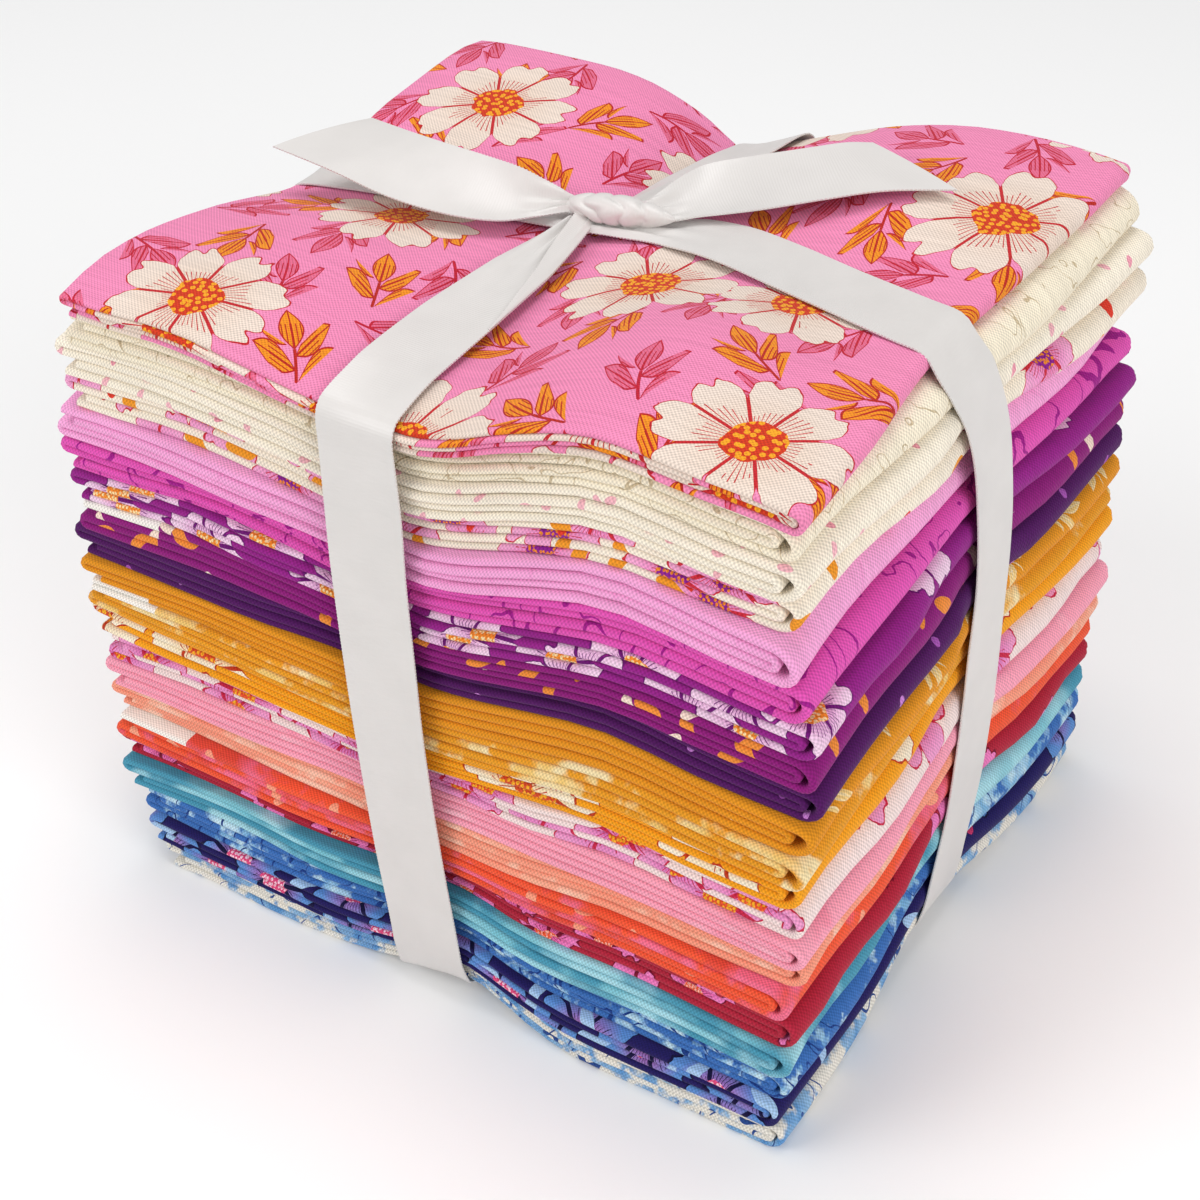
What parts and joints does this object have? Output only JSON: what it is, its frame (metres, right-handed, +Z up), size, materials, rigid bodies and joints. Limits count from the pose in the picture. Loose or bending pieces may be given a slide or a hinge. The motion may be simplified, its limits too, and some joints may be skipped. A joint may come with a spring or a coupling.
{
  "type": "fat quarter bundle",
  "caption": "Stack of folded printed cotton fat quarters in graded colours, drawn in by a satin ribbon tied both ways with a knot and two free tails on top.",
  "frame": {"origin": "under the middle of the stack, on the surface it rests on", "axes": "+Z up through the stack, +X along the face that shows the folded ridges, towards the face of full rounded folds, +Y from the ridged face to the back"},
  "size_m": [0.145, 0.123, 0.137],
  "materials": {
    "pink_flowers": "printed plain-weave quilting cotton",
    "cream_sketch": "printed plain-weave quilting cotton",
    "cream_speck": "printed plain-weave quilting cotton",
    "cream_petals": "printed plain-weave quilting cotton",
    "light_pink": "printed plain-weave quilting cotton",
    "orchid_lines": "printed plain-weave quilting cotton",
    "purple_flowers": "printed plain-weave quilting cotton",
    "plum_spots": "printed plain-weave quilting cotton",
    "dark_purple_dots": "printed plain-weave quilting cotton",
    "mustard_dashes": "printed plain-weave quilting cotton",
    "mustard_blotch": "printed plain-weave quilting cotton",
    "golden_flowers": "printed plain-weave quilting cotton",
    "orchid_flowers": "printed plain-weave quilting cotton",
    "rose_pink": "printed plain-weave quilting cotton",
    "peach_blotch": "printed plain-weave quilting cotton",
    "coral": "printed plain-weave quilting cotton",
    "crimson_spots": "printed plain-weave quilting cotton",
    "aqua": "printed plain-weave quilting cotton",
    "blue_patches": "printed plain-weave quilting cotton",
    "navy_flowers": "printed plain-weave quilting cotton",
    "cream_blue": "printed plain-weave quilting cotton",
    "ribbon": "plain white satin ribbon"
  },
  "bodies": {
    "root": {"quarter_01_pink_flowers": "pink_flowers", "quarter_02_cream_sketch": "cream_sketch", "quarter_03_cream_speck": "cream_speck", "quarter_04_cream_petals": "cream_petals", "quarter_05_light_pink": "light_pink", "quarter_06_orchid_lines": "orchid_lines", "quarter_07_purple_flowers": "purple_flowers", "quarter_08_plum_spots": "plum_spots", "quarter_09_dark_purple_dots": "dark_purple_dots", "quarter_10_mustard_dashes": "mustard_dashes", "quarter_11_mustard_blotch": "mustard_blotch", "quarter_12_golden_flowers": "golden_flowers", "quarter_13_orchid_flowers": "orchid_flowers", "quarter_14_rose_pink": "rose_pink", "quarter_15_peach_blotch": "peach_blotch", "quarter_16_coral": "coral", "quarter_17_crimson_spots": "crimson_spots", "quarter_18_aqua": "aqua", "quarter_19_blue_patches": "blue_patches", "quarter_20_navy_flowers": "navy_flowers", "quarter_21_cream_blue": "cream_blue", "ribbon": "ribbon"}
  },
  "joints": []
}
